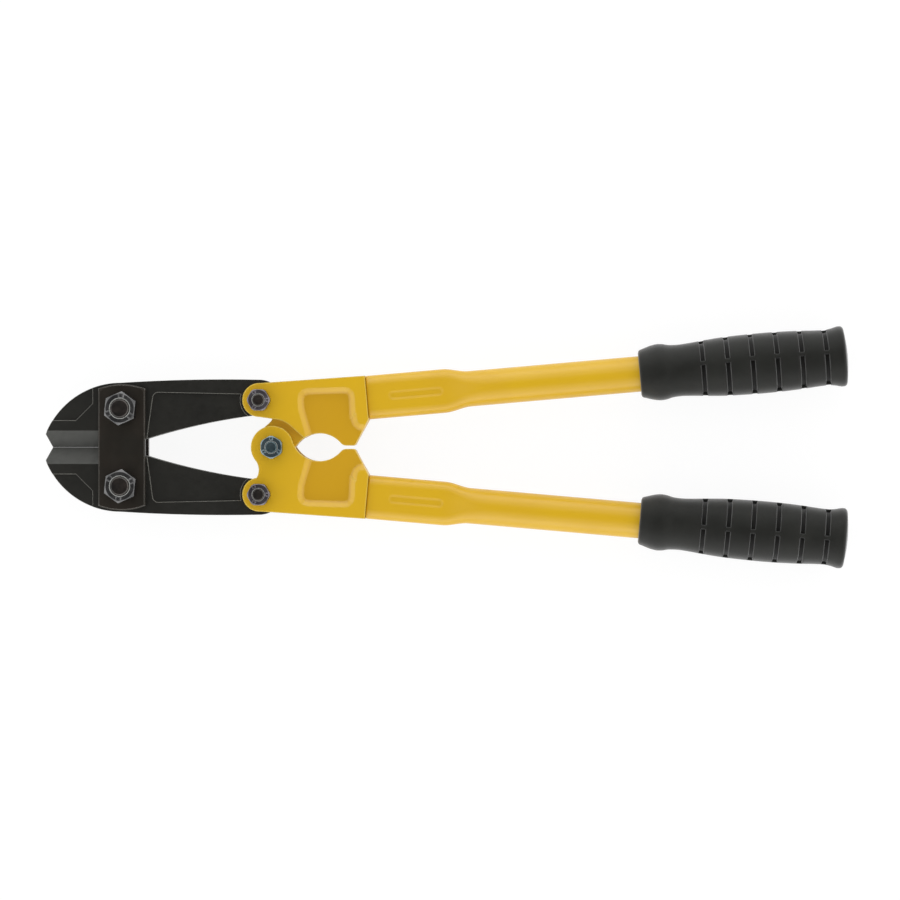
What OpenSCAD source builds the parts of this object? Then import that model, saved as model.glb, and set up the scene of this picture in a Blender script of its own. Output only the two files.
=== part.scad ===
// Bolt cutters: two forged jaws held between side plates, worked through their tails by two
// handle heads that cross at a centre pivot, with tubular handles and rubber grips.
// The tool lies flat on its back: jaws towards -X, grips towards +X, nuts towards +Z.
// Shapes are drawn for the upper (+Y) half, x from the nose and z from the middle of the tool.

/* [Overall] */
// Length from the nose of the jaws to the end of the grips
overall_length = 350; // [335:1:380]
// Angle between each handle tube and the centre line
handle_angle = 4.95; // [4:0.05:6]

/* [Jaws] */
// Thickness of the blades between the side plates
jaw_thickness = 9; // [8:0.1:10]
// Thickness of the tails inside the handle heads
tail_thickness = 6.3; // [5.5:0.1:7]
// Distance from the nose to the blade pivots
blade_pivot_reach = 33.9; // [32:0.1:37]
// Height of a blade pivot above the centre line
blade_pivot_rise = 16.9; // [16:0.1:18]
// Distance along the tool from a blade pivot to its tail pivot
tail_reach = 60.1; // [58:0.1:66]
// Height of a tail pivot above the centre line
tail_pivot_rise = 20.6; // [20:0.1:22]
// Radius of the rounded tail
tail_radius = 8.9; // [8:0.1:9.2]
// Distance from a tail pivot down to the inner side of the tail
tail_depth = 7.2; // [6.5:0.1:7.4]
// Height of the pointed nose above the centre line
nose_rise = 5.7; // [5:0.1:7]
// Set-back of the cutting edges from the nose
nose_setback = 2.7; // [2:0.1:4]
// Height of the jaw's back above the centre line, at its crown
crown_rise = 28.2; // [27.5:0.1:30]
// Gap between the closed cutting edges
edge_gap = 0.05; // [0.05:0.05:0.5]
// Width of the flat on each cutting edge
edge_flat = 0.6; // [0.3:0.1:1]
// Height of the ground cutting bevel
bevel_rise = 7.3; // [6:0.1:8.5]
// Depth of the forged recesses in the jaw faces
recess_depth = 0.6; // [0.3:0.1:1]
// Height of the bare strip between the bevel and the nose recess
nose_recess_rise = 11.7; // [10.5:0.1:12.5]
// Width of the raised rim along the back of the jaw
rim_width = 5.6; // [4.5:0.1:6.5]

/* [Side plates] */
// Width of a plate along the tool
plate_width = 20.5; // [18:0.1:22]
// Distance from a blade pivot to the rounded end of a plate
plate_reach = 10.6; // [9.8:0.1:11.4]
// Thickness of a plate
plate_thickness = 3.25; // [2.5:0.05:4]
// Bevel round the outer face of a plate
plate_bevel = 0.4; // [0.2:0.1:0.8]

/* [Handle heads] */
// Distance of the centre pivot beyond the tail pivots
centre_set = 5.6; // [5:0.1:6.5]
// Thickness of one cheek of a head
cheek_thickness = 2.6; // [2.2:0.1:3]
// Radius of the cheeks round a tail pivot
ear_radius = 7.4; // [7:0.1:8]
// Radius of the eyes round the centre pivot
hub_radius = 9.3; // [8.5:0.1:9.5]
// Radius of the concave cut behind each centre eye
lens_radius = 12.3; // [11.5:0.1:13]
// Angle below the centre line at which that cut touches the eye
lens_angle = 17; // [14:0.1:18]
// Rounding where that cut runs out into the stop
stop_round = 3.5; // [1:0.1:5]
// Radius of the neck between the centre eye and the tail ear
neck_radius = 6.8; // [6:0.1:7.5]
// Distance from the centre pivot to the far corner of the stop
stop_reach = 36; // [34:0.1:38]
// Gap between the two stops with the handles closed
stop_gap = 1.4; // [0.6:0.1:2]
// Distance from the centre pivot to the shoulder that meets the tube
shoulder_reach = 41.3; // [40:0.1:45]
// Depth of the pocket in each face of a head
pocket_depth = 1.8; // [1:0.1:2.2]
// Width of the sloping band round that pocket
pocket_band = 2.7; // [2:0.1:3.2]
// Largest turn of a handle against its jaw
full_swing = 57; // [50:1:60]

/* [Handles] */
// Diameter of the round part of a tube
tube_diameter = 15.5; // [14:0.1:16]
// Wall of a tube
tube_wall = 1.5; // [1.2:0.1:2]
// Width of a tube where it is flattened over the tang
flat_width = 19.1; // [18.5:0.1:20]
// Thickness of a tube where it is flattened
flat_thickness = 9.4; // [9:0.1:10]
// Length of the flattened part
flat_length = 33.5; // [31:0.5:38]
// Length over which the flattened part turns round
blend_length = 11.5; // [9:0.5:16]
// Length of the crimp that locks tube and tang
crimp_length = 24.6; // [20:0.1:28]
// Width of the crimp at the surface
crimp_width = 4.4; // [3.5:0.1:5]
// Depth of the crimp
crimp_depth = 1.05; // [0.8:0.05:1.3]

/* [Grips] */
// Length of a grip along its tube
grip_length = 90.5; // [84:0.5:100]
// Greatest diameter of a grip
grip_diameter = 26.3; // [25:0.1:26.3]
// Thickness of the closed end
grip_end_wall = 5; // [4:0.5:7]
// Bulge of the closed end
grip_bulge = 1.4; // [0.5:0.1:2]
// Ring grooves in each grip
groove_count = 6; // [3:1:6]
// Distance between ring grooves
groove_pitch = 10.7; // [9:0.1:10.9]
// Width of a ring groove
groove_width = 2.1; // [1.5:0.1:2.6]
// Depth of a ring groove
groove_depth = 1.1; // [0.6:0.1:1.6]
// Width of the webs that break each groove
groove_web = 2.2; // [1.5:0.1:3]

/* [Fasteners] */
// Diameter of the blade bolts
blade_bolt_d = 8; // [7:0.5:8]
// Width across flats of the blade nuts and bolt heads
blade_nut_af = 13; // [12:0.5:14]
// Height of the blade bolt heads
blade_head_h = 5.3; // [5:0.1:5.6]
// Height of the blade nuts
blade_nut_h = 6.5; // [6:0.1:8]
// Diameter of the pivot bolts in the heads
pivot_bolt_d = 5; // [5:0.5:6]
// Width across flats of the pivot nuts and bolt heads
pivot_nut_af = 9.2; // [9:0.1:10]
// Height of the pivot bolt heads
pivot_head_h = 3.5; // [3:0.1:4.5]
// Height of the pivot nuts
pivot_nut_h = 4.8; // [4.5:0.1:6]
// Length of bolt that stands out of a nut
bolt_overhang = 1; // [0.6:0.1:2]

/* [Fits] */
// Radial clearance of a turning bolt
turn_fit = 0.05; // [0.02:0.01:0.1]
// Gap between faces that slide on each other
face_gap = 0.1; // [0.05:0.01:0.2]
// Radial clearance of the tail in its slot
slot_gap = 0.5; // [0.4:0.1:1]
// Radial clearance round the centre eyes
hub_gap = 3.1; // [3:0.1:3.6]
// Radial clearance of the centre bolt in the tongue
tongue_gap = 2.3; // [2.2:0.1:2.5]
// Gap between the tang and the inside of its tube
tang_gap = 0.05; // [0.02:0.01:0.1]

/* [Hidden] */
$fn = 96;

jaw_black = "#25221d";
plate_black = "#2a241f";
nut_steel = "#6d6a70";
zinc_steel = "#7f9098";
paint_yellow = "#d9a917";
rubber_grey = "#3c3c3e";

// how far shapes that would only touch reach into each other
lap = 0.05;

blade_pivot = [blade_pivot_reach, blade_pivot_rise];
tail_pivot = blade_pivot + [tail_reach, tail_pivot_rise - blade_pivot_rise];
centre = [tail_pivot.x + centre_set, 0];

// layers through the thickness, counted from the middle of the tool
plate_z = jaw_thickness / 2 + face_gap;
plate_face_z = plate_z + plate_thickness;
cheek_z = tail_thickness / 2 + face_gap;
head_z = cheek_z + cheek_thickness;
rest_height = max(plate_face_z + blade_head_h, grip_diameter / 2);

plate_left = blade_pivot.x - plate_width / 2;
plate_right = blade_pivot.x + plate_width / 2;
plate_length = 2 * (blade_pivot_rise + plate_reach);
edge_y = edge_gap / 2;

// the tube's axis starts on the shoulder of the head
shoulder = [centre.x + shoulder_reach, tail_pivot.y + 1.05];
across = [-sin(handle_angle), cos(handle_angle)];
shoulder_top = shoulder + flat_width / 2 * across;
shoulder_foot = shoulder - flat_width / 2 * across;
grip_rim = 2;
end_radius = grip_diameter / 2 - grip_rim;
// the bulging end reaches furthest a little off the tube's axis, because the tube leans
grip_end = (overall_length - shoulder.x) / cos(handle_angle)
    - pow(end_radius * tan(handle_angle), 2) / (4 * grip_bulge);
grip_start = grip_end - grip_length;
tube_end = grip_end - grip_end_wall;

function dir(a) = [cos(a), sin(a)];
function turn(v) = [-v.y, v.x];
function unit(v) = v / norm(v);

// centre of the circle through three points
function circle_centre(a, b, c) =
    let (d = 2 * (a.x * (b.y - c.y) + b.x * (c.y - a.y) + c.x * (a.y - b.y)))
    [(a * a * (b.y - c.y) + b * b * (c.y - a.y) + c * c * (a.y - b.y)) / d,
     (a * a * (c.x - b.x) + b * b * (a.x - c.x) + c * c * (b.x - a.x)) / d];

// points along the shorter arc from a to b round c, both ends included
function arc_between(c, a, b, steps) =
    let (start = atan2(a.y - c.y, a.x - c.x),
         raw = atan2(b.y - c.y, b.x - c.x) - start,
         sweep = raw > 180 ? raw - 360 : raw < -180 ? raw + 360 : raw)
    [for (i = [0:steps]) c + norm(a - c) * dir(start + sweep * i / steps)];

// closed outline of [x, y, radius] corners, each rounded by an arc of its radius
function rounded(corners, steps = 6) = [
    for (i = [0:len(corners) - 1])
        let (n = len(corners),
             p = corners[i],
             here = [p.x, p.y],
             before = unit([corners[(i + n - 1) % n].x, corners[(i + n - 1) % n].y] - here),
             after = unit([corners[(i + 1) % n].x, corners[(i + 1) % n].y] - here),
             half = acos(before * after) / 2)
        if (p.z == 0) here
        else each arc_between(here + p.z / sin(half) * unit(before + after),
            here + p.z / tan(half) * before, here + p.z / tan(half) * after, steps)];

// point where a line from p touches a circle, on the left-hand side seen from the centre
function touch_point(c, r, p) =
    c + r * dir(atan2(p.y - c.y, p.x - c.x) + acos(r / norm(p - c)));

// solid through rings with equal numbers of points, clockwise when seen from before the first
module loft(rings) {
    n = len(rings[0]);
    last = len(rings) - 1;
    polyhedron(
        points = [for (ring = rings) each ring],
        faces = concat(
            [[for (i = [0:n - 1]) i]],
            [for (k = [0:last - 1]) for (i = [0:n - 1])
                let (a = k * n + i, b = k * n + (i + 1) % n)
                each [[a, a + n, b + n], [a, b + n, b]]],
            [[for (i = [n - 1:-1:0]) last * n + i]]),
        convexity = 6);
}

module lay_down() translate([-overall_length / 2, 0, rest_height]) children();
module lower_half() mirror([0, 1, 0]) children();
module both_faces() {
    children();
    mirror([0, 0, 1]) children();
}
module at(point, z = 0) translate([point.x, point.y, z]) children();
module slab(z0, z1) translate([0, 0, z0]) linear_extrude(z1 - z0) children();
module drill(point, d) at(point) cylinder(h = 4 * rest_height, r = d / 2, center = true);
module along_tube() at(shoulder) rotate([0, 0, handle_angle]) children();

// ---- fasteners ----

// hexagon of height h, its corners along Y: turned to an outer radius and sloped off at the top
module hexagon(af, h, outer) {
    crown = 0.475 * af;
    intersection() {
        rotate([0, 0, 90]) cylinder(h = h, r = af / 2 / cos(30), $fn = 6);
        rotate_extrude() polygon([[0, 0], [outer, 0], [outer, h - (outer - crown) * tan(30)], [crown, h], [0, h]]);
    }
}

module bolt(d, af, head_h, seat_z, end_z) {
    chamfer = 0.06 * d;
    mirror([0, 0, 1]) translate([0, 0, seat_z]) hexagon(af, head_h, af);
    rotate_extrude() polygon([[0, -seat_z], [d / 2, -seat_z], [d / 2, end_z - chamfer],
        [d / 2 - chamfer, end_z], [0, end_z]]);
}

// all-metal lock nut, squeezed by three dents at every other corner
module lock_nut(d, af, h, outer) {
    sink = 0.05 * d;
    dent = 0.3 * d;
    mid = (d / 2 + sink + 0.52 * af) / 2;
    length = 0.2 * d;
    difference() {
        hexagon(af, h, outer);
        translate([0, 0, -1]) cylinder(h = h + 2, r = d / 2);
        translate([0, 0, h - sink]) cylinder(h = 2 * sink, r1 = d / 2, r2 = d / 2 + 2 * sink);
        for (a = [90, 210, 330]) rotate([0, 0, a]) translate([mid - length / 2, 0, h + dent - sink])
            rotate([0, 90, 0]) cylinder(h = length, r = dent);
    }
}

module blade_bolt() color(nut_steel) at(blade_pivot) rotate([0, 0, -8])
    bolt(blade_bolt_d, blade_nut_af, blade_head_h, plate_face_z, plate_face_z + blade_nut_h + bolt_overhang);
module blade_nut(turn) color(nut_steel) at(blade_pivot, plate_face_z) rotate([0, 0, turn])
    lock_nut(blade_bolt_d, blade_nut_af, blade_nut_h, blade_nut_af);
module pivot_bolt(point) color(nut_steel) at(point) rotate([0, 0, 30])
    bolt(pivot_bolt_d, pivot_nut_af, pivot_head_h, head_z, head_z + pivot_nut_h + bolt_overhang);
module pivot_nut(point, turn) at(point, head_z) rotate([0, 0, turn])
    lock_nut(pivot_bolt_d, pivot_nut_af, pivot_nut_h, 0.54 * pivot_nut_af);

// ---- side plates ----

// one plate, its inner face on z = 0
module plate() {
    side = plate_thickness - plate_bevel;
    half_w = plate_width / 2;
    difference() {
        intersection() {
            translate([blade_pivot.x, 0, 0]) union() {
                cylinder(h = side, r = plate_length / 2);
                translate([0, 0, side])
                    cylinder(h = plate_bevel, r1 = plate_length / 2, r2 = plate_length / 2 - plate_bevel);
            }
            translate([blade_pivot.x, 0, 0]) rotate([90, 0, 0])
                linear_extrude(plate_length + 2, center = true)
                    polygon([[-half_w, 0], [-half_w, side], [plate_bevel - half_w, plate_thickness],
                        [half_w - plate_bevel, plate_thickness], [half_w, side], [half_w, 0]]);
        }
        drill(blade_pivot, blade_bolt_d);
        lower_half() drill(blade_pivot, blade_bolt_d);
    }
}

// the two facets on the upper corners of the front plate, each sloping down outwards
module corner_facets() {
    half_w = plate_width / 2;
    rise = sqrt(plate_length * plate_length / 4 - half_w * half_w);
    for (side = [-1, 1])
        translate([blade_pivot.x + side * (half_w - 1.75), rise - 0.35, plate_thickness])
            rotate([0, 0, 90 - side * 41.5]) rotate([0, 20, 0]) translate([0, -15, 0]) cube([20, 30, 5]);
}

module front_plate() color(plate_black) lay_down() translate([0, 0, plate_z]) difference() {
    plate();
    corner_facets();
}
module rear_plate() color(plate_black) lay_down() mirror([0, 0, 1]) translate([0, 0, plate_z]) plate();

// ---- jaws ----

nose_top_x = blade_pivot.x - 0.9;
nose_centre = [nose_top_x, (crown_rise * crown_rise - nose_rise * nose_rise - nose_top_x * nose_top_x)
    / (2 * (crown_rise - nose_rise))];
edge_end = [blade_pivot.x - 0.5, edge_y];
tail_top = tail_pivot + [0, tail_radius];
tail_end = tail_pivot + [tail_radius, 0];
tail_foot = tail_pivot + tail_depth * dir(-112);
boss_radius = tail_radius - 0.2;

// nose, back, round tail, inner curve and cutting edge of the upper jaw
module jaw_outline() {
    crown = [nose_top_x, crown_rise];
    bow = (crown + tail_top) / 2 + [0, 0.65];
    inner_mid = blade_pivot + [11.4, -12.9];
    under = tail_pivot + (tail_depth + 0.3) * dir(-60);
    polygon(concat([[nose_setback, edge_y]],
        arc_between(nose_centre, [0, nose_rise], crown, 24),
        arc_between(circle_centre(crown, bow, tail_top), crown, tail_top, 8),
        arc_between(tail_pivot, tail_top, tail_end, 12),
        arc_between(circle_centre(tail_end, under, tail_foot), tail_end, tail_foot, 14),
        arc_between(circle_centre(edge_end, inner_mid, tail_foot), tail_foot, edge_end, 12)));
}

// the space between both jaw faces, sunk below them by depth: thick blade, taper, thin tail
module between_faces(depth = 0) {
    blade = jaw_thickness / 2 - depth;
    tail = tail_thickness / 2 - depth;
    taper = [plate_right + 1.5, tail_pivot.x - boss_radius - 1.5];
    rotate([90, 0, 0]) linear_extrude(4 * crown_rise, center = true)
        polygon([[-1, blade], [taper[0], blade], [taper[1], tail], [tail_pivot.x + 20, tail],
            [tail_pivot.x + 20, -tail], [taper[1], -tail], [taper[0], -blade], [-1, -blade]]);
}

// forged recesses: one in front of the plates, one between the plates and the tail
module face_recesses() {
    front = plate_left - 2.9;
    step = 7.4;
    polygon([[-1, nose_recess_rise], [front - step, nose_recess_rise], [front, nose_recess_rise + step],
        [front, 2 * crown_rise], [-1, 2 * crown_rise]]);
    difference() {
        polygon(rounded([[plate_right - 0.1, 0, 0], [plate_right + 3.2, crown_rise + 1 - rim_width + 0.5, 2.5],
            [tail_pivot.x, tail_top.y + 0.8 - rim_width - 1.6, 0], [tail_pivot.x, 0, 0]]));
        translate(tail_pivot) circle(boss_radius);
    }
}

module jaw() color(jaw_black) difference() {
    intersection() {
        slab(-jaw_thickness / 2, jaw_thickness / 2) jaw_outline();
        between_faces();
    }
    difference() {
        slab(-jaw_thickness, jaw_thickness) face_recesses();
        between_faces(recess_depth);
    }
    both_faces() translate([-1, 0, 0]) rotate([90, 0, 90]) linear_extrude(blade_pivot.x - 2)
        polygon([[-1, edge_flat / 2], [edge_y, edge_flat / 2], [bevel_rise, jaw_thickness / 2],
            [bevel_rise, jaw_thickness], [-1, jaw_thickness]]);
    drill(blade_pivot, blade_bolt_d + 2 * turn_fit);
    drill(tail_pivot, pivot_bolt_d + 2 * turn_fit);
}

// ---- handle heads ----

lens_centre = centre + (hub_radius + lens_radius - lap) * dir(-lens_angle);
hub_clear = hub_radius + hub_gap;
slot_radius = tail_radius + slot_gap;
ear_top = touch_point(tail_pivot, ear_radius - lap, shoulder_top);
stop_corner = [centre.x + stop_reach, stop_gap / 2];

// the disc that rounds the stop touches the flat of the stop and the concave cut
stop_disc = [lens_centre.x + sqrt(pow(lens_radius + stop_round, 2)
    - pow(stop_corner.y + stop_round - lens_centre.y, 2)), stop_corner.y + stop_round];

// head behind the pivots: top edge, shoulder, stop and the concave cut before the stop
module head_body() polygon(concat(
    [tail_pivot, ear_top, shoulder_top, shoulder_foot, stop_corner + [1.3, 2.4], stop_corner + [0.3, 0.5],
        stop_corner - [0.6, 0]],
    arc_between(stop_disc, stop_disc - [0, stop_round],
        stop_disc + stop_round * unit(lens_centre - stop_disc), 5),
    arc_between(lens_centre, lens_centre + (lens_radius + lap) * unit(stop_disc - lens_centre),
        lens_centre + lens_radius * dir(180 - lens_angle), 24),
    [centre, centre + [0, hub_clear], tail_pivot - [0, ear_radius]]));

// the room that the other head's eye and neck need round the centre pivot
module hub_room() {
    turn_off = hub_clear * dir(48);
    translate(centre) polygon(concat(
        arc_between([0, 0], hub_clear * dir(180), hub_clear * dir(90), 12),
        arc_between([0, 0], hub_clear * dir(90), turn_off, 6),
        [turn_off + 12 * dir(-42), [lens_radius, -1], [0, -hub_clear], [-hub_clear, -hub_clear]]));
}

// the room that the jaw tail needs between the cheeks over its whole turn
module tail_room() {
    open_side = 90 - full_swing;
    translate(tail_pivot) polygon(concat(
        arc_between([0, 0], slot_radius * dir(-170), slot_radius * dir(-60), 12),
        arc_between([0, 0], slot_radius * dir(-60), slot_radius * dir(open_side), 12),
        [slot_radius * dir(open_side) + 4 * ear_radius * dir(open_side + 90), [-4 * ear_radius, 0]]));
}

module ear() translate(tail_pivot) circle(ear_radius);
module hub() translate(centre) circle(hub_radius);

// the space inside planes that lean by the pocket's slope, each through an edge of a convex
// clockwise outline in the front face: above planes that rise outwards, or with lean -1 below
// planes that fall outwards
module leaning_sides(outline, lean = 1) {
    slope = atan2(pocket_depth, pocket_band);
    size = 200;
    intersection_for (i = [0:len(outline) - 1]) {
        edge = outline[(i + 1) % len(outline)] - outline[i];
        at(outline[i], head_z) rotate([0, 0, atan2(edge.y, edge.x)]) rotate([lean * slope, 0, 0])
            translate([-size, -size, lean > 0 ? 0 : -size]) cube([2 * size, 2 * size, size]);
    }
}

// pocket in the front face of a head: open towards the concave cut and the stop, and round the
// block that carries the tube
module pocket() {
    left = tail_pivot.x + 16.4;
    right = shoulder.x - 5.4;
    top = ear_top.y - 2.3;
    foot = -30;
    hollow = rounded([[left + 14, foot, 0], [left + 0.5, 16.5, 5], [left, top, 4.5],
        [right, top + 0.7, 4.2], [right + 2.4, foot, 0]], 3);
    open_side = [[left + 14, foot], [left + 14, 15], [right + 0.6, 15], [right + 40, 12], [right + 40, foot]];
    block = rounded([[right + 1.4, 9.6, 2.6], [right + 0.4, 22, 0], [right + 40, 22, 0], [right + 40, 13, 0]], 3);
    intersection() {
        slab(head_z - pocket_depth, head_z + 1) square(400, center = true);
        union() {
            leaning_sides(hollow);
            difference() {
                leaning_sides(open_side);
                leaning_sides(block, -1);
            }
        }
    }
}

// capsule pressed into the flattened tube; grow adds the thickness of what it has pushed in
module crimp(grow = 0) {
    radius = (crimp_width * crimp_width / 4 + crimp_depth * crimp_depth) / (2 * crimp_depth);
    start = 9.2 + crimp_width / 2;
    finish = 9.2 + crimp_length - crimp_width / 2;
    along_tube() both_faces() translate([0, 0, flat_thickness / 2 + radius - crimp_depth]) {
        translate([start, 0, 0]) rotate([0, 90, 0]) cylinder(h = finish - start, r = radius + grow);
        for (x = [start, finish]) translate([x, 0, 0]) sphere(radius + grow);
    }
}

// prism along the tube's axis with round edges, from x0 to x1
module flat_bar(width, thickness, x0, x1) along_tube() {
    translate([x0, -(width - thickness) / 2, -thickness / 2]) cube([x1 - x0, width - thickness, thickness]);
    for (side = [-1, 1]) translate([x0, side * (width - thickness) / 2, 0])
        rotate([0, 90, 0]) cylinder(h = x1 - x0, r = thickness / 2);
}

module tang() difference() {
    flat_bar(flat_width - 2 * (tube_wall + tang_gap), flat_thickness - 2 * (tube_wall + tang_gap),
        -3, flat_length - 2);
    crimp(tube_wall + tang_gap);
}

// head with the middle tongue: its cheeks stay clear of the other head's eyes
module upper_head_shape() {
    neck = centre + (hub_radius - lap) * dir(116);
    notch = centre + [-0.2, hub_clear];
    difference() {
        union() {
            both_faces() slab(cheek_z, head_z) {
                difference() {
                    head_body();
                    hub_room();
                }
                ear();
            }
            slab(-cheek_z, cheek_z) difference() {
                head_body();
                hub_room();
                tail_room();
            }
            slab(face_gap - cheek_z, cheek_z - face_gap) difference() {
                union() {
                    head_body();
                    hub();
                    polygon([centre, notch + [3, 0], notch, notch - [0.4, 0.9], notch - [1.4, 1.9], neck]);
                }
                tail_room();
            }
        }
        both_faces() pocket();
        drill(tail_pivot, pivot_bolt_d);
        drill(centre, pivot_bolt_d + 2 * tongue_gap);
    }
    tang();
}

// head with the two outer eyes: its middle stays clear of the tongue
module lower_head_shape() {
    neck_centre = centre + (hub_radius + neck_radius - lap) * dir(142);
    difference() {
        union() {
            both_faces() slab(cheek_z, head_z) {
                difference() {
                    union() {
                        head_body();
                        polygon([centre, neck_centre, tail_pivot, centre + [1, hub_clear]]);
                    }
                    translate(neck_centre) circle(neck_radius);
                }
                hub();
                ear();
            }
            slab(-cheek_z, cheek_z) difference() {
                head_body();
                hub_room();
                tail_room();
            }
        }
        both_faces() pocket();
        drill(tail_pivot, pivot_bolt_d);
        drill(centre, pivot_bolt_d);
    }
    tang();
}

// ---- handles ----

// one ring of the tube at x along its axis, from flattened (share 0) to round (share 1)
function blend_ring(share, x, shrink) =
    let (ease = share * share * (3 - 2 * share),
         w = flat_width + (tube_diameter - flat_width) * ease - 2 * shrink,
         t = flat_thickness + (tube_diameter - flat_thickness) * ease - 2 * shrink,
         n = 48)
    [for (i = [0:n - 1])
        let (a = 360 * (i + 0.5) / n)
        [x, cos(a) * t / 2 + sign(cos(a)) * (w - t) / 2, sin(a) * t / 2]];

// the space inside the tube's outer skin, shrunk by the wall for its hollow
module tube_core(shrink, x0, x1) {
    steps = 6;
    along_tube() loft(concat([blend_ring(0, x0, shrink)],
        [for (k = [0:steps]) blend_ring(k / steps, flat_length + blend_length * k / steps, shrink)],
        [blend_ring(1, x1, shrink)]));
}

module tube() color(paint_yellow) difference() {
    tube_core(0, 0, tube_end);
    difference() {
        tube_core(tube_wall, -1, tube_end + 1);
        crimp(tube_wall);
    }
    crimp();
}

// ---- grips ----

// [distance from the mouth, share of the greatest diameter] at the crests and hollows of a grip
grip_stations = [[0, 0.79], [4.5, 0.925], [8.5, 0.937], [17.3, 0.856], [27.8, 0.918], [37, 0.977],
    [54, 1], [70, 0.968], [81, 0.917], [87, 1], [91, 1]];

// radius of the grip at distance t from its mouth, eased between the stations
function grip_radius(t, i = 0) =
    t > grip_stations[i + 1][0] ? grip_radius(t, i + 1)
    : let (a = grip_stations[i], b = grip_stations[i + 1],
           u = (t - a[0]) / (b[0] - a[0]))
      grip_diameter / 2 * (a[1] + (b[1] - a[1]) * u * u * (3 - 2 * u));

module grip() color(rubber_grey) along_tube() translate([grip_start, 0, 0]) rotate([0, 90, 0]) {
    scale_t = 90.5 / grip_length;
    steps = 40;
    first_groove = 27.7 / scale_t;
    rim_r = grip_diameter / 2;
    grip_side = grip_length - grip_bulge - grip_rim;
    difference() {
        rotate_extrude() polygon(concat([[tube_diameter / 2, 0]],
            [for (i = [0:steps])
                let (t = grip_side * i / steps)
                [grip_radius(t * scale_t), t]],
            [for (a = [20, 40, 60, 80])
                [rim_r - grip_rim + grip_rim * cos(a), grip_side + grip_rim * sin(a)]],
            [for (share = [0.75, 0.5, 0.25, 0])
                [share * (rim_r - grip_rim), grip_length - grip_bulge * share * share]],
            [[0, grip_length - grip_end_wall],
                [tube_diameter / 2, grip_length - grip_end_wall]]));
        for (i = [0:groove_count - 1])
            let (t = first_groove + groove_pitch * i, r = grip_radius(t * scale_t) - groove_depth)
            translate([0, 0, t - groove_width / 2]) difference() {
                cylinder(h = groove_width, r = grip_diameter);
                translate([0, 0, -1]) cylinder(h = groove_width + 2, r = r);
                for (a = [0, 90]) rotate([0, 0, a - 8])
                    translate([-2 * grip_diameter, -groove_web / 2, -1])
                        cube([4 * grip_diameter, groove_web, groove_width + 2]);
            }
    }
}

// ---- the pieces in place ----

module upper_blade_bolt() lay_down() blade_bolt();
module lower_blade_bolt() lay_down() lower_half() blade_bolt();
module upper_blade_nut() lay_down() blade_nut(-6);
module lower_blade_nut() lay_down() lower_half() blade_nut(6);
module upper_jaw() lay_down() jaw();
module lower_jaw() lay_down() lower_half() jaw();
module upper_head() color(paint_yellow) lay_down() upper_head_shape();
module lower_head() color(paint_yellow) lay_down() lower_half() lower_head_shape();
module upper_pivot_bolt() lay_down() pivot_bolt(tail_pivot);
module lower_pivot_bolt() lay_down() lower_half() pivot_bolt(tail_pivot);
module upper_pivot_nut() color(nut_steel) lay_down() pivot_nut(tail_pivot, 30);
module lower_pivot_nut() color(nut_steel) lay_down() lower_half() pivot_nut(tail_pivot, 30);
module centre_bolt() lay_down() pivot_bolt(centre);
module centre_nut() color(zinc_steel) lay_down() pivot_nut(centre, 0);
module upper_tube() lay_down() tube();
module lower_tube() lay_down() lower_half() tube();
module upper_grip() lay_down() grip();
module lower_grip() lay_down() lower_half() grip();

front_plate();
rear_plate();
upper_blade_bolt();
lower_blade_bolt();
upper_blade_nut();
lower_blade_nut();
upper_jaw();
lower_jaw();
upper_head();
lower_head();
upper_pivot_bolt();
lower_pivot_bolt();
upper_pivot_nut();
lower_pivot_nut();
centre_bolt();
centre_nut();
upper_tube();
lower_tube();
upper_grip();
lower_grip();
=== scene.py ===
import math

import bpy
import numpy as np
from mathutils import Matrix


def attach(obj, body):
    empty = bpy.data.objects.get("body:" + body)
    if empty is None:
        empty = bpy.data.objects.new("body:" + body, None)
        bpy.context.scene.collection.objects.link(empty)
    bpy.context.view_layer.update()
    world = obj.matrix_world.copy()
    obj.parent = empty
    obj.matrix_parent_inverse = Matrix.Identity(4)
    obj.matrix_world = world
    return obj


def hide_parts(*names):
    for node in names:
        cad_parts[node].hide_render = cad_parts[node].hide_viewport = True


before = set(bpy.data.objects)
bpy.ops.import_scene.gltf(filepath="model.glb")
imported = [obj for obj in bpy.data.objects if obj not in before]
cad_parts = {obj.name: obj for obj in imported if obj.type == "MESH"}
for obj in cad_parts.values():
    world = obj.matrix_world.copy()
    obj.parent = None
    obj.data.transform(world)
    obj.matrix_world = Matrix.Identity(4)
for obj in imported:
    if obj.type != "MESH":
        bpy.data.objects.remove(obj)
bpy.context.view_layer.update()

mm = 0.001
print("frame loaded:", len(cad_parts), "nodes")


def boxOf(node):
    # least and greatest x, y and z of a node of the frame, in metres
    corners = np.array(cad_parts[node].bound_box)
    return corners.min(axis=0), corners.max(axis=0)


def middleOf(node):
    least, greatest = boxOf(node)
    return [float(value) for value in (least + greatest) / 2]


restHeight = middleOf("upper_tube")[2]  # middle of the tool above the floor
headFace = float(boxOf("upper_head")[1][2])  # upper face of the handle heads


# Node helpers

def addNode(tree, kind, inputs=None, **settings):
    node = tree.nodes.new(kind)
    for name, value in settings.items():
        setattr(node, name, value)
    for key, value in (inputs or {}).items():
        if isinstance(value, bpy.types.NodeSocket):
            tree.links.new(value, node.inputs[key])
        else:
            node.inputs[key].default_value = value
    return node


def newMaterial(name, **uniform):
    material = bpy.data.materials.new(name)
    material.use_nodes = True
    tree = material.node_tree
    shader = tree.nodes["Principled BSDF"]
    for key, value in uniform.items():
        shader.inputs[key].default_value = value
    return material, tree, shader


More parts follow.
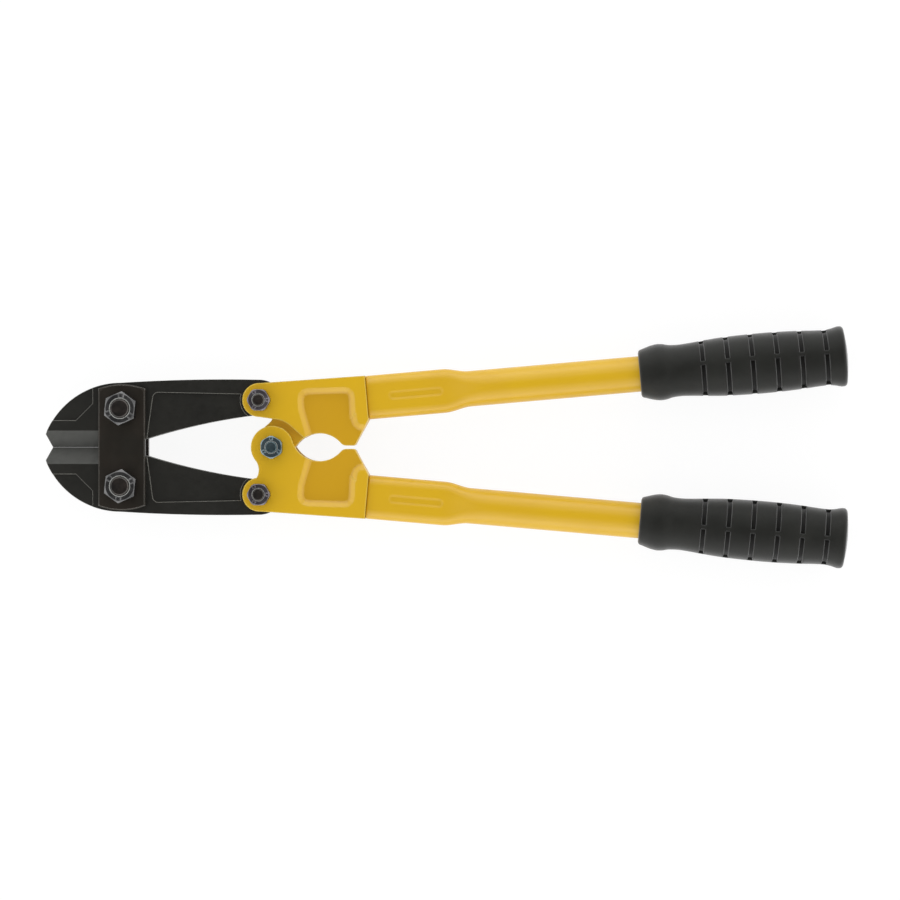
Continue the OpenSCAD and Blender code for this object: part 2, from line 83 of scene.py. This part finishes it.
def mixColours(tree, share, a, b):
    mix = addNode(tree, "ShaderNodeMix", data_type="RGBA")
    for index, value in ((0, share), (6, a), (7, b)):
        if isinstance(value, bpy.types.NodeSocket):
            tree.links.new(value, mix.inputs[index])
        else:
            mix.inputs[index].default_value = value
    return mix.outputs[2]


def remap(tree, value, low, high, toLow=0.0, toHigh=1.0):
    node = addNode(tree, "ShaderNodeMapRange", {"Value": value, "From Min": low, "From Max": high,
                                                "To Min": toLow, "To Max": toHigh})
    return node.outputs["Result"]


def noiseAt(tree, scale, detail=3.0, roughness=0.5, stretch=None):
    # cloud noise over the piece's own metres; stretch pulls it out along an axis
    place = addNode(tree, "ShaderNodeTexCoord").outputs["Object"]
    if stretch:
        place = addNode(tree, "ShaderNodeMapping", {"Vector": place, "Scale": stretch}).outputs["Vector"]
    return addNode(tree, "ShaderNodeTexNoise", {"Vector": place, "Scale": scale, "Detail": detail,
                                                "Roughness": roughness}).outputs["Fac"]


def edgeShare(tree, radius, sharpest=0.985, softest=0.8):
    # how far the rounded normal leans from the face's own: 0 on a face, 1 on an edge
    rounded = addNode(tree, "ShaderNodeBevel", {"Radius": radius}, samples=8).outputs["Normal"]
    flat = addNode(tree, "ShaderNodeNewGeometry").outputs["Normal"]
    lean = addNode(tree, "ShaderNodeVectorMath", {0: rounded, 1: flat}, operation="DOT_PRODUCT")
    return rounded, remap(tree, lean.outputs["Value"], sharpest, softest)


def bumped(tree, height, strength, distance, normal=None):
    inputs = {"Height": height, "Strength": strength, "Distance": distance}
    if normal is not None:
        inputs["Normal"] = normal
    return addNode(tree, "ShaderNodeBump", inputs).outputs["Normal"]


def foldedPlace(tree):
    # the piece's own place, with its lower half folded on to its upper half
    place = addNode(tree, "ShaderNodeTexCoord").outputs["Object"]
    return addNode(tree, "ShaderNodeVectorMath", {0: place}, operation="ABSOLUTE").outputs["Vector"]


def product(tree, a, b):
    return addNode(tree, "ShaderNodeMath", {0: a, 1: b}, operation="MULTIPLY").outputs[0]


def ringShare(tree, centre, radius, width):
    # 1 on a circle round (x, y), 0 beyond the ring's width: from | distance - radius |
    flat = addNode(tree, "ShaderNodeVectorMath", {0: foldedPlace(tree), 1: (1, 1, 0)}, operation="MULTIPLY")
    away = addNode(tree, "ShaderNodeVectorMath", {0: flat.outputs["Vector"], 1: (*map(abs, centre), 0)},
                   operation="DISTANCE").outputs["Value"]
    off = addNode(tree, "ShaderNodeMath", {0: away, 1: radius}, operation="SUBTRACT").outputs[0]
    off = addNode(tree, "ShaderNodeMath", {0: off}, operation="ABSOLUTE").outputs[0]
    return remap(tree, off, 0.25 * width, 0.6 * width, 1.0, 0.0)


def slopeShare(tree, steep, level):
    # 1 where the face leans between the two heights of its normal, as a chamfer does
    normal = addNode(tree, "ShaderNodeNewGeometry").outputs["True Normal"]
    up = addNode(tree, "ShaderNodeSeparateXYZ", {0: normal}).outputs["Z"]
    return product(tree, remap(tree, up, steep, steep + 0.1),
                   remap(tree, up, level - 0.05, level, 1.0, 0.0))


# Finishes

# edge: a lighter colour on the jaws' edges, partly real wear of the oxide and partly painted highlight
forging = {"face": (0.0080, 0.0076, 0.0052, 1), "worn": (0.0140, 0.0135, 0.0102, 1),
           "edge": (0.22, 0.215, 0.19, 1), "edgeRadius": 0.0004, "scale": 420, "smear": 60,
           "ground": (0.052, 0.053, 0.048, 1), "groundRise": 0.00725, "groundEnd": 0.1475}


def forgedSteel():
    material, tree, shader = newMaterial("jawOxide", **{"Metallic": 0.35, "IOR": 1.5})
    rounded, edge = edgeShare(tree, forging["edgeRadius"])
    scale = noiseAt(tree, forging["scale"], 5, 0.6)
    smear = noiseAt(tree, forging["smear"], 3, 0.5)
    colour = mixColours(tree, remap(tree, smear, 0.35, 0.7), forging["face"], forging["worn"])
    # the ground bevels: near the cutting line, and from under the plates to the nose
    along, across, _ = addNode(tree, "ShaderNodeSeparateXYZ", {0: foldedPlace(tree)}).outputs
    rise, end = forging["groundRise"], forging["groundEnd"]
    ground = product(tree, remap(tree, across, rise, rise + 0.0001, 1.0, 0.0),
                     remap(tree, along, end, end + 0.0001))
    colour = mixColours(tree, ground, colour, forging["ground"])
    edge = product(tree, edge, remap(tree, across, 0.0004, 0.0008))  # where the cutting edges meet
    # edges painted lighter: partly real wear, partly painted highlight
    tree.links.new(mixColours(tree, edge, colour, forging["edge"]), shader.inputs["Base Color"])
    tree.links.new(remap(tree, scale, 0.3, 0.7, 0.42, 0.58), shader.inputs["Roughness"])
    tree.links.new(bumped(tree, scale, 0.25, 0.00012, rounded), shader.inputs["Normal"])
    return material


# edge: a lighter colour on the plates' edges, partly real wear and partly painted highlight
plating = {"face": (0.0165, 0.0138, 0.0095, 1), "warm": (0.027, 0.0205, 0.0145, 1),
           "edge": (0.30, 0.29, 0.27, 1), "edgeRadius": 0.0005,
           "grain": 300, "grainStretch": (1.0, 0.25, 1.0), "bloom": 70}


def blackPlate():
    material, tree, shader = newMaterial("plateOxide", **{"Metallic": 0.5, "IOR": 1.5})
    rounded, edge = edgeShare(tree, plating["edgeRadius"])
    grain = noiseAt(tree, plating["grain"], 4, 0.6, plating["grainStretch"])
    bloom = noiseAt(tree, plating["bloom"], 3, 0.5)
    colour = mixColours(tree, remap(tree, bloom, 0.35, 0.7), plating["face"], plating["warm"])
    # edges painted lighter: partly real wear, partly painted highlight
    tree.links.new(mixColours(tree, edge, colour, plating["edge"]), shader.inputs["Base Color"])
    tree.links.new(remap(tree, grain, 0.3, 0.7, 0.36, 0.5), shader.inputs["Roughness"])
    tree.links.new(bumped(tree, grain, 0.15, 0.00008, rounded), shader.inputs["Normal"])
    return material


# strengths of the painted highlights on chamfers and on edges
steel = {"edgeRadius": 0.00028, "chamferGlintShare": 0.13, "edgeShare": 0.12, "turned": 900, "smear": 160}
# a painted highlight ring round each bolt end in its nut: radius for each bolt, width and colour
glintRing = {"blade": 0.00440, "pivot": 0.00268, "width": 0.0005, "colour": (0.56, 0.57, 0.54, 1)}
# edge: the colour of the painted highlights on chamfers and edges
steelTones = {
    "burnishedSteel": {"face": (0.062, 0.062, 0.064, 1), "worn": (0.12, 0.118, 0.118, 1),
                       "edge": (0.36, 0.365, 0.36, 1), "rough": 0.30},
    "darkSteel": {"face": (0.095, 0.085, 0.098, 1), "worn": (0.18, 0.165, 0.185, 1),
                  "edge": (0.46, 0.45, 0.47, 1), "rough": 0.33},
    "boltEndSteel": {"face": (0.028, 0.027, 0.026, 1), "worn": (0.055, 0.046, 0.041, 1),
                     "edge": (0.30, 0.29, 0.28, 1), "rough": 0.42},
    "zincSteel": {"face": (0.085, 0.130, 0.155, 1), "worn": (0.15, 0.20, 0.225, 1),
                  "edge": (0.55, 0.66, 0.66, 1), "rough": 0.30},
    "zincEndSteel": {"face": (0.055, 0.088, 0.102, 1), "worn": (0.09, 0.125, 0.14, 1),
                     "edge": (0.30, 0.38, 0.38, 1), "rough": 0.40},
}


def boltSteel(name, nut=None, ringRadius=None):
    # burnished hexagon steel, with painted highlights on chamfers and edges and a painted highlight ring
    # round the bolt in a nut
    material, tree, shader = newMaterial(name, **{"Metallic": 1.0})
    tone = steelTones[name]
    rounded, share = edgeShare(tree, steel["edgeRadius"])
    turned = noiseAt(tree, steel["turned"], 3, 0.5)
    smear = noiseAt(tree, steel["smear"], 3, 0.5)
    colour = mixColours(tree, remap(tree, smear, 0.35, 0.65), tone["face"], tone["worn"])
    # chamfers, then edges, painted lighter by the lean of their faces: painted highlight
    chamferGlint = product(tree, slopeShare(tree, 0.35, 0.97), steel["chamferGlintShare"])
    colour = mixColours(tree, chamferGlint, colour, tone["edge"])
    colour = mixColours(tree, product(tree, share, steel["edgeShare"]), colour, tone["edge"])
    if nut:
        # painted highlight: a bright ring round the bolt end
        glintMask = ringShare(tree, middleOf(nut)[:2], ringRadius, glintRing["width"])
        colour = mixColours(tree, glintMask, colour, glintRing["colour"])
        tree.links.new(remap(tree, glintMask, 0.0, 1.0, 1.0, 0.1), shader.inputs["Metallic"])
    tree.links.new(colour, shader.inputs["Base Color"])
    rough = remap(tree, turned, 0.3, 0.7, tone["rough"] - 0.06, tone["rough"] + 0.08)
    tree.links.new(rough, shader.inputs["Roughness"])
    tree.links.new(bumped(tree, turned, 0.12, 0.00006, rounded), shader.inputs["Normal"])
    return material


# edge: the painted highlight colour on the heads' edges
paint = {"film": (0.665, 0.400, 0.0040, 1), "thick": (0.61, 0.345, 0.002, 1),
         "edge": (0.80, 0.60, 0.085, 1), "edgeRadius": 0.0010, "peel": 520, "cloud": 45,
         # the darker colour for the pocket floors is painted shade
         "recessShade": (0.570, 0.305, 0.0010, 1), "recessShadeShare": 0.85, "pocketDepth": 0.0018}


def yellowPaint(name, flanged):
    # flanged: painted highlights on the edges, and painted shade on the floors of the pockets
    material, tree, shader = newMaterial(name, **{"IOR": 1.5, "Coat Weight": 0.15, "Coat Roughness": 0.2})
    rounded, edge = edgeShare(tree, paint["edgeRadius"], 0.99, 0.75)
    peel = noiseAt(tree, paint["peel"], 2, 0.45)
    cloud = noiseAt(tree, paint["cloud"], 3, 0.5)
    colour = mixColours(tree, remap(tree, cloud, 0.35, 0.75, 0.0, 0.45), paint["film"], paint["thick"])
    if flanged:
        up = addNode(tree, "ShaderNodeSeparateXYZ", {0: foldedPlace(tree)}).outputs["Z"]
        floor = headFace - paint["pocketDepth"]
        # pocket floors painted darker: painted shade
        recessShade = product(tree, remap(tree, up, floor - 0.0004, floor - 0.0002),
                       remap(tree, up, floor + 0.0002, floor + 0.0008, 1.0, 0.0))
        colour = mixColours(tree, product(tree, recessShade, paint["recessShadeShare"]), colour, paint["recessShade"])
        # painted highlight along the edges
        colour = mixColours(tree, edge, colour, paint["edge"])
    tree.links.new(colour, shader.inputs["Base Color"])
    tree.links.new(remap(tree, cloud, 0.3, 0.7, 0.34, 0.42), shader.inputs["Roughness"])
    tree.links.new(bumped(tree, peel, 0.10, 0.00012, rounded), shader.inputs["Normal"])
    return material


# the darker groove colour is painted shade in the grooves
rubber = {"skin": (0.0090, 0.0093, 0.0076, 1), "bloom": (0.0150, 0.0155, 0.0130, 1),
          "groove": (0.005, 0.005, 0.004, 1), "sheen": 0.50, "sheenSpread": 0.42,
          "grain": 2600, "cloud": 90}


def gripRubber():
    material, tree, shader = newMaterial("gripRubber", **{"IOR": 1.48, "Specular IOR Level": 0.15,
                                                          "Sheen Weight": rubber["sheen"],
                                                          "Sheen Roughness": rubber["sheenSpread"]})
    grain = noiseAt(tree, rubber["grain"], 3, 0.6)
    bloom = noiseAt(tree, rubber["cloud"], 4, 0.55)
    colour = mixColours(tree, remap(tree, bloom, 0.35, 0.7), rubber["skin"], rubber["bloom"])
    sunk = addNode(tree, "ShaderNodeAttribute", attribute_name="sunk").outputs["Fac"]
    # grooves painted darker: painted shade
    tree.links.new(mixColours(tree, sunk, colour, rubber["groove"]), shader.inputs["Base Color"])
    tree.links.new(remap(tree, bloom, 0.3, 0.7, 0.46, 0.56), shader.inputs["Roughness"])
    tree.links.new(bumped(tree, grain, 0.35, 0.00015), shader.inputs["Normal"])
    return material


jawOxide = forgedSteel()
plateOxide = blackPlate()
bladeNutSteel = boltSteel("burnishedSteel", "upper_blade_nut", glintRing["blade"])
pivotNutSteel = boltSteel("darkSteel", "upper_pivot_nut", glintRing["pivot"])
boltEndSteel = boltSteel("boltEndSteel")
zincSteel = boltSteel("zincSteel", "centre_nut", glintRing["pivot"])
zincEndSteel = boltSteel("zincEndSteel")
headPaint = yellowPaint("yellowPaint", True)
tubePaint = yellowPaint("yellowTubePaint", False)
gripSkin = gripRubber()

finishes = {
    "upper_jaw": jawOxide, "lower_jaw": jawOxide,
    "front_plate": plateOxide, "rear_plate": plateOxide,
    "upper_blade_bolt": boltEndSteel, "lower_blade_bolt": boltEndSteel,
    "upper_blade_nut": bladeNutSteel, "lower_blade_nut": bladeNutSteel,
    "upper_pivot_bolt": boltEndSteel, "lower_pivot_bolt": boltEndSteel,
    "upper_pivot_nut": pivotNutSteel, "lower_pivot_nut": pivotNutSteel,
    "centre_bolt": zincEndSteel, "centre_nut": zincSteel,
    "upper_head": headPaint, "lower_head": headPaint,
    "upper_tube": tubePaint, "lower_tube": tubePaint,
    "upper_grip": gripSkin, "lower_grip": gripSkin,
}
for name, material in finishes.items():
    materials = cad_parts[name].data.materials
    materials.clear()
    materials.append(material)
print("finishes on", len(finishes), "nodes")


# Surfaces on a grid

def signedVolume(points, triangles):
    a, b, c = (points[triangles[:, k]] for k in range(3))
    return float(np.einsum("ij,ij->i", a, np.cross(b, c)).sum())


def ringSurface(name, rings, capped, material):
    # rings (m, n, 3) joined by quads round each ring and from ring to ring. Capped: the first and
    # last ring each shrink to one point. Not capped: the last ring joins the first again.
    m, n = rings.shape[:2]
    around = np.arange(n)
    after = (around + 1) % n
    if capped:
        body = rings[1:-1]
        points = np.concatenate([body.reshape(-1, 3), rings[:1].mean(axis=1), rings[-1:].mean(axis=1)])
        row = np.arange(m - 3)[:, None] * n
        nextRow = row + n
        first, last = (m - 2) * n, (m - 2) * n + 1
        end = (m - 3) * n
        caps = np.concatenate([np.stack([np.full(n, first), after, around], axis=-1),
                               np.stack([np.full(n, last), end + around, end + after], axis=-1)])
    else:
        points = rings.reshape(-1, 3)
        row = np.arange(m)[:, None] * n
        nextRow = (row + n) % (m * n)
        caps = np.zeros((0, 3), int)
    quads = np.stack([row + around, row + after, nextRow + after, nextRow + around], axis=-1).reshape(-1, 4)
    split = np.concatenate([quads[:, [0, 1, 2]], quads[:, [0, 2, 3]], caps])
    if signedVolume(points, split) < 0:
        quads, caps = quads[:, ::-1], caps[:, ::-1]
    mesh = bpy.data.meshes.new(name)
    loops = np.concatenate([quads.ravel(), caps.ravel()])
    sizes = np.concatenate([np.full(len(quads), 4), np.full(len(caps), 3)])
    mesh.vertices.add(len(points))
    mesh.vertices.foreach_set("co", points.astype(np.float32).ravel())
    mesh.loops.add(len(loops))
    mesh.loops.foreach_set("vertex_index", loops.astype(np.int32))
    mesh.polygons.add(len(sizes))
    mesh.polygons.foreach_set("loop_start", (np.cumsum(sizes) - sizes).astype(np.int32))
    mesh.polygons.foreach_set("use_smooth", np.ones(len(sizes), bool))
    mesh.update(calc_edges=True)
    mesh.validate()
    mesh.materials.append(material)
    piece = bpy.data.objects.new(name, mesh)
    bpy.context.scene.collection.objects.link(piece)
    return piece


handle = {"shoulder": (-34.1, 21.65), "angle": 4.95}  # where a tube starts, and its lean


def alongHandle(local, side):
    # local (x along the tube, y across, z up, in mm) turned by the handle's lean, moved to the
    # shoulder and, for the lower handle (side -1), mirrored in y
    lean = math.radians(handle["angle"])
    x, y, z = local[..., 0], local[..., 1], local[..., 2]
    along = handle["shoulder"][0] + x * math.cos(lean) - y * math.sin(lean)
    across = handle["shoulder"][1] + x * math.sin(lean) + y * math.cos(lean)
    return np.stack([along * mm, side * across * mm, z * mm + restHeight], axis=-1)


def easeBetween(x, a, b):
    t = np.clip((x - a) / (b - a), 0, 1)
    return t * t * (3 - 2 * t)


# Handle tubes

tube = {"flatWidth": 19.1, "flatThickness": 9.4, "diameter": 15.5, "wall": 1.5, "flatLength": 33.5,
        "blendLength": 11.5, "riseLength": 20, "length": 204.7, "seam": 0.12, "lip": 0.45,
        "crimpStart": 9.2, "crimpLength": 24.6, "crimpWidth": 4.5, "crimpDepth": 0.5,
        "pointsRound": 176, "fineStep": 0.42, "fineEnd": 56, "outerRings": 24, "boreRings": 40}


def tubeSection(x, u, shrink):
    # a stadium of width w and thickness t, walked by share u of its own perimeter: along the top
    # flat, round one end, back along the bottom and round the other; w and t ease to one diameter,
    # t over a longer way
    narrowing = easeBetween(x, tube["flatLength"], tube["flatLength"] + tube["blendLength"])
    rising = easeBetween(x, tube["flatLength"] - 1, tube["flatLength"] + tube["riseLength"])
    w = tube["flatWidth"] + (tube["diameter"] - tube["flatWidth"]) * narrowing - 2 * shrink
    t = tube["flatThickness"] + (tube["diameter"] - tube["flatThickness"]) * rising - 2 * shrink
    flat, r = w - t, t / 2
    half = flat + np.pi * r
    s = u * 2 * half
    back = s >= half
    q = np.where(back, s - half, s)
    turn = np.clip((q - flat) / r, 0, np.pi)
    y = np.where(q < flat, flat / 2 - q, -flat / 2 - r * np.sin(turn))
    z = np.where(q < flat, r, r * np.cos(turn))
    return np.where(back, -y, y), np.where(back, -z, z)


def crimpSink(x, y):
    # depth pressed in at distance d from the crimp's middle line: a narrow floor, then a soft wall
    half = tube["crimpWidth"] / 2
    start, finish = tube["crimpStart"] + half, tube["crimpStart"] + tube["crimpLength"] - half
    beyond = np.maximum(np.maximum(start - x, x - finish), 0)
    d = np.hypot(beyond, y) / half
    return tube["crimpDepth"] * (1 - easeBetween(d, 0.35, 1.0))


def tubeSkin(side, name):
    # outer skin from its lip at the shoulder to the far end, then back along the bore: closely
    # spaced rings as far as the tube changes its section, and wide ones where it is plain
    lipTurn = np.linspace(0, np.pi / 2, 4)[:-1]
    near = np.concatenate([tube["seam"] + tube["lip"] * (1 - np.cos(lipTurn)),
                           np.arange(tube["seam"] + tube["lip"], tube["fineEnd"], tube["fineStep"])])
    outer = np.concatenate([near, np.linspace(tube["fineEnd"] + 3, tube["length"], tube["outerRings"])])
    lip = np.zeros_like(outer)
    lip[:3] = tube["lip"] * (1 - np.sin(lipTurn))
    inner = np.linspace(tube["length"], tube["seam"], tube["boreRings"])
    wall = np.full_like(inner, tube["wall"])
    u = np.arange(tube["pointsRound"]) / tube["pointsRound"]
    rings = []
    for x, shrink in ((outer[:, None], lip[:, None]), (inner[:, None], wall[:, None])):
        y, z = tubeSection(x, u[None, :], shrink)
        z = z - np.sign(z) * crimpSink(x, y) * (np.abs(z) > 0.5)
        rings.append(np.stack([np.broadcast_to(x, y.shape), y, z], axis=-1))
    return ringSurface(name, alongHandle(np.concatenate(rings), side), False, tubePaint)


# Grips

grip = {"start": 119.22, "length": 90.5, "diameter": 26.3, "bore": 15.56, "endWall": 5.0,
        "rim": 1.7, "bulge": 1.0, "firstGroove": 27.7, "pitch": 10.7, "grooves": 6,
        "width": 2.0, "depth": 1.35, "edge": 0.25, "web": 1.8, "webRadius": 12.4, "mouthRound": 1.1}
# distance from the mouth, and the radius there as a share of the greatest
gripStations = np.array([[0, 0.775], [1.2, 0.80], [6.2, 0.912], [8.6, 0.937], [10.6, 0.925], [14.0, 0.868],
                         [17.5, 0.856], [22, 0.876], [27.8, 0.918], [37, 0.972], [46, 0.993], [54, 1.0],
                         [62, 0.99], [70, 0.965], [77, 0.93], [81, 0.917], [84.5, 0.95], [87.0, 0.998],
                         [90.5, 1.0]])


def throughStations(t, stations):
    # monotone cubic: at each station the slope is the harmonic mean of its neighbours' slopes, or
    # nought where they change sign, and a Hermite cubic joins them
    x, y = stations[:, 0], stations[:, 1]
    h, d = np.diff(x), np.diff(y) / np.diff(x)
    flat = d[:-1] * d[1:] <= 0
    inner = np.where(flat, 0, 2 * d[:-1] * d[1:] / np.where(flat, 1, d[:-1] + d[1:]))
    slope = np.concatenate([[d[0]], inner, [d[-1]]])
    k = np.clip(np.searchsorted(x, t, side="right") - 1, 0, len(h) - 1)
    s = (t - x[k]) / h[k]
    return ((1 + 2 * s) * (1 - s) ** 2 * y[k] + s * (1 - s) ** 2 * h[k] * slope[k]
            + s * s * (3 - 2 * s) * y[k + 1] + s * s * (s - 1) * h[k] * slope[k + 1])


def gripSurface(side, name, webTurn):
    # radius over distance t and angle a: the crest profile less the ring grooves, each of which
    # fades out across the four webs; then the rounded end, and the bore inside
    grooveAt = grip["firstGroove"] + grip["pitch"] * np.arange(grip["grooves"])
    half = grip["width"] / 2
    offsets = half + grip["edge"] * np.array([-1.0, -0.6, -0.2, 0.2, 0.6, 1.0])
    sideEnd = grip["length"] - grip["rim"] - grip["bulge"]
    t = np.unique(np.concatenate([np.arange(0, sideEnd, 1.1),
                                  (grooveAt[:, None] + np.concatenate([-offsets, [0], offsets])).ravel(),
                                  [0.25, 0.5, 0.8, sideEnd]]))
    steps = np.concatenate([np.arange(-45, 45, 4.5),
                            [-6.8, -6.0, -5.4, -4.8, -4.2, -3.4, 3.4, 4.2, 4.8, 5.4, 6.0, 6.8]])
    a = np.radians(np.unique(np.round((np.unique(steps)[:, None] + np.arange(4) * 90).ravel() % 360, 3)))
    away = np.radians(np.abs((np.degrees(a) + 45) % 90 - 45)) * grip["webRadius"]  # mm from a web
    broken = easeBetween(away, grip["web"] / 2 - 0.25, grip["web"] / 2 + 0.25)
    near = np.abs(t[:, None] - grooveAt).min(axis=1)
    sunk = 1 - easeBetween(near, half - grip["edge"], half + grip["edge"])
    crest = grip["diameter"] / 2 * throughStations(t, gripStations)
    crest = crest - grip["mouthRound"] * (1 - np.sqrt(1 - (1 - np.clip(t / grip["mouthRound"], 0, 1)) ** 2))
    radius = crest[:, None] - grip["depth"] * sunk[:, None] * broken[None, :]
    turn = np.radians(np.arange(10, 91, 10))
    flatRadius = grip["diameter"] / 2 - grip["rim"]
    endT = sideEnd + grip["rim"] * np.sin(turn)
    endRadius = flatRadius + grip["rim"] * np.cos(turn)
    cap = np.linspace(1, 0, 7)[1:]
    bore, boreEnd, flare = grip["bore"] / 2, grip["length"] - grip["endWall"], 0.35
    insideT = np.array([boreEnd, boreEnd, 2.0, flare, 0.0])
    insideRadius = np.array([0.0, bore, bore, bore, bore + flare])
    allT = np.concatenate([insideT, t, endT, grip["length"] - grip["bulge"] * cap ** 2])
    beyond = np.concatenate([endRadius, flatRadius * cap])
    allRadii = np.concatenate([np.repeat(insideRadius[:, None], len(a), 1), radius,
                               np.repeat(beyond[:, None], len(a), 1)])
    facing = a[None, :] + math.radians(webTurn)  # a web lies this far from straight up
    local = np.stack([np.broadcast_to(grip["start"] + allT[:, None], allRadii.shape),
                      allRadii * np.sin(facing), allRadii * np.cos(facing)], axis=-1)
    piece = ringSurface(name, alongHandle(local, side), True, gripSkin)
    # how deep each point lies in a groove, for the painted shade in the rubber's grooves; the two end
    # points lie in none
    recessShade = np.zeros(allRadii.shape)
    recessShade[len(insideT):len(insideT) + len(t)] = np.minimum(1, 3 * sunk[:, None] * broken[None, :])
    recessShade = np.concatenate([recessShade[1:-1].ravel(), [0, 0]])
    piece.data.attributes.new("sunk", "FLOAT", "POINT").data.foreach_set("value", recessShade.astype(np.float32))
    return piece


upperTube = tubeSkin(1, "upperTubeSkin")
lowerTube = tubeSkin(-1, "lowerTubeSkin")
upperGrip = gripSurface(1, "upperGripSleeve", 11)
lowerGrip = gripSurface(-1, "lowerGripSleeve", 1)
for piece, node, body, slot in (
        (upperTube, "upper_tube", "upper_handle", "yellow_paint"),
        (lowerTube, "lower_tube", "lower_handle", "yellow_paint"),
        (upperGrip, "upper_grip", "upper_handle", "grip_rubber"),
        (lowerGrip, "lower_grip", "lower_handle", "grip_rubber")):
    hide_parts(node)
    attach(piece, body)
    print(piece.name, len(piece.data.polygons), "faces")


# Stage, light and camera

stage = {"floorSize": 3.0, "shadow": 0.13, "lamp": 4.75, "endLamp": 3.325, "lampSize": 1.3,
         "lampReach": 1.1, "lampHeight": 0.9, "zenith": 0.20, "horizon": 2.2}
viewpoint = {"target": (0.0020, -0.0012, restHeight), "lens": (0.080, 0.0, 1.66), "width": 0.3929}


def paleFloor():
    # a hair below the bolt heads that rest on it
    bpy.ops.mesh.primitive_plane_add(size=stage["floorSize"], location=(0, 0, -0.0002))
    floor = bpy.context.object
    floor.name = "paleFloor"
    material = bpy.data.materials.new("paleFloor")
    material.use_nodes = True
    tree = material.node_tree
    tree.nodes.clear()
    bounce = addNode(tree, "ShaderNodeBsdfDiffuse", {"Color": (0.85, 0.85, 0.85, 1)}).outputs[0]
    shaded = addNode(tree, "ShaderNodeBsdfDiffuse", {"Color": (stage["shadow"],) * 3 + (1,)}).outputs[0]
    glow = addNode(tree, "ShaderNodeEmission", {"Strength": 1.02 - 0.9 * stage["shadow"]}).outputs[0]
    seen = addNode(tree, "ShaderNodeAddShader", {0: shaded, 1: glow}).outputs[0]
    path = addNode(tree, "ShaderNodeLightPath")
    either = path.outputs["Is Camera Ray"]
    for kind in ("Is Glossy Ray", "Is Transmission Ray"):
        either = addNode(tree, "ShaderNodeMath", {0: either, 1: path.outputs[kind]},
                         operation="MAXIMUM").outputs[0]
    mixed = addNode(tree, "ShaderNodeMixShader", {0: either, 1: bounce, 2: seen}).outputs[0]
    addNode(tree, "ShaderNodeOutputMaterial", {"Surface": mixed})
    floor.data.materials.append(material)


def softLamp(name, x, y, power):
    # a square lamp at (x, y) and the lamps' height, turned to face the middle of the floor
    z = stage["lampHeight"]
    data = bpy.data.lights.new(name, "AREA")
    data.shape = "SQUARE"
    data.size = stage["lampSize"]
    data.energy = power
    lamp = bpy.data.objects.new(name, data)
    bpy.context.scene.collection.objects.link(lamp)
    lamp.location = (x, y, z)
    lamp.rotation_euler = (math.atan2(math.hypot(x, y), z), 0, math.atan2(y, x) + math.pi / 2)


def softSky():
    # bright towards the horizon, dimmer overhead, white to the camera
    world = bpy.data.worlds.new("softSky")
    bpy.context.scene.world = world
    world.use_nodes = True
    tree = world.node_tree
    tree.nodes.clear()
    direction = addNode(tree, "ShaderNodeTexCoord").outputs["Generated"]
    up = addNode(tree, "ShaderNodeSeparateXYZ", {0: direction}).outputs["Z"]
    level = remap(tree, up, 0.20, 0.70, stage["horizon"], stage["zenith"])
    path = addNode(tree, "ShaderNodeLightPath").outputs["Is Camera Ray"]
    level = addNode(tree, "ShaderNodeMix", {0: path, 2: level, 3: 1.0}).outputs[0]
    sky = addNode(tree, "ShaderNodeBackground", {"Color": (1, 1, 1, 1), "Strength": level}).outputs[0]
    addNode(tree, "ShaderNodeOutputWorld", {"Surface": sky})


def lookFrom(eye, target):
    # turned about X and Y so that the view runs from eye to target with +Y up in the picture
    x, y, z = (e - t for e, t in zip(eye, target))
    return (-math.atan2(y, math.hypot(x, z)), math.atan2(x, z), 0)


def placeCamera():
    camera = bpy.data.objects.new("camera", bpy.data.cameras.new("camera"))
    distance = math.dist(viewpoint["target"], viewpoint["lens"])
    camera.data.angle = 2 * math.atan(viewpoint["width"] / 2 / distance)
    camera.location = viewpoint["lens"]
    camera.rotation_euler = lookFrom(viewpoint["lens"], viewpoint["target"])
    bpy.context.scene.collection.objects.link(camera)
    bpy.context.scene.camera = camera


paleFloor()
softSky()
softLamp("lampBehind", 0.0, stage["lampReach"], stage["lamp"])
softLamp("lampFront", 0.0, -stage["lampReach"], stage["lamp"])
softLamp("lampLeft", -stage["lampReach"], 0.0, stage["endLamp"])
softLamp("lampRight", stage["lampReach"], 0.0, stage["endLamp"])
placeCamera()
bpy.context.scene.view_settings.view_transform = "Standard"
print("stage ready")
